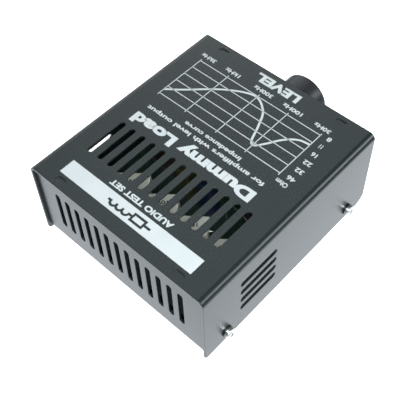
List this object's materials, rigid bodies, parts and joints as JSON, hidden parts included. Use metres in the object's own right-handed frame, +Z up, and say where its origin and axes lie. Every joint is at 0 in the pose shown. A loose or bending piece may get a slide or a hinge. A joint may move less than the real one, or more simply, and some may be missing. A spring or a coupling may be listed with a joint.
{
  "type": "reactive load box",
  "caption": "Vented black sheet-metal box with a front level knob and jack sockets, holding power resistors and coils that load an amplifier in place of a loudspeaker.",
  "frame": {"origin": "middle of the whole object's footprint, on the surface that the feet stand on", "axes": "+Z up; +Y from the control knob to the vented rear panel; +X to the right of someone who faces the knob"},
  "size_m": [0.1064, 0.1302, 0.0488],
  "materials": {
    "cover_paint": "semi-gloss black powder coat",
    "tray_paint": "semi-gloss black powder coat",
    "screw_zinc": "bright zinc plate",
    "dark_steel": "black oxide",
    "nut_zinc": "zinc plate",
    "knob_black": "glossy moulded",
    "pointer_white": "filled line",
    "shaft_alloy": "turned",
    "wiper_bronze": "spring bronze",
    "pot_zinc": "plated can",
    "phenolic": "paper laminate",
    "tinned": "tinned",
    "jack_nickel": "nickel plate",
    "jack_plastic": "moulded",
    "board_green": "solder mask over laminate",
    "standoff_brass": "turned",
    "cement": "cast cement, matt",
    "ferrite": "sintered ferrite",
    "enamelled_wire": "varnished copper",
    "fibre_board": "vulcanised fibre",
    "blue_sleeve": "shrink sleeve",
    "olive_film": "dipped epoxy",
    "rubber_black": "moulded"
  },
  "bodies": {
    "case": {"top_cover": "cover_paint", "chassis_tray": "tray_paint", "cover_screws": "screw_zinc", "lock_washers": "dark_steel", "clinch_nuts": "nut_zinc", "pot_housing": "pot_zinc", "pot_wafer": "phenolic", "pot_pins": "tinned", "pot_washer": "nut_zinc", "pot_nut": "nut_zinc", "jack_housings": "jack_plastic", "jack_bushes": "jack_nickel", "jack_washers": "jack_nickel", "jack_nuts": "jack_nickel", "jack_springs": "tinned", "jack_pins": "tinned", "circuit_board": "board_green", "board_standoffs": "standoff_brass", "board_screws": "screw_zinc", "floor_screws": "screw_zinc", "power_resistors": "cement", "resistor_leads": "tinned", "inductor_bases": "fibre_board", "inductor_cores": "ferrite", "inductor_windings": "enamelled_wire", "can_capacitor": "blue_sleeve", "film_capacitors": "olive_film", "rubber_feet": "rubber_black"},
    "control": {"control_knob": "knob_black", "knob_pointer": "pointer_white", "knob_set_screw": "dark_steel", "pot_shaft": "shaft_alloy", "pot_wiper": "wiper_bronze"}
  },
  "joints": [
    {"name": "control_turn", "type": "hinge", "parent": "case", "child": "control", "pos_m": [0, -0.0448, 0.0249], "axis": [0, 1, 0], "range_deg": [0, 300]}
  ]
}
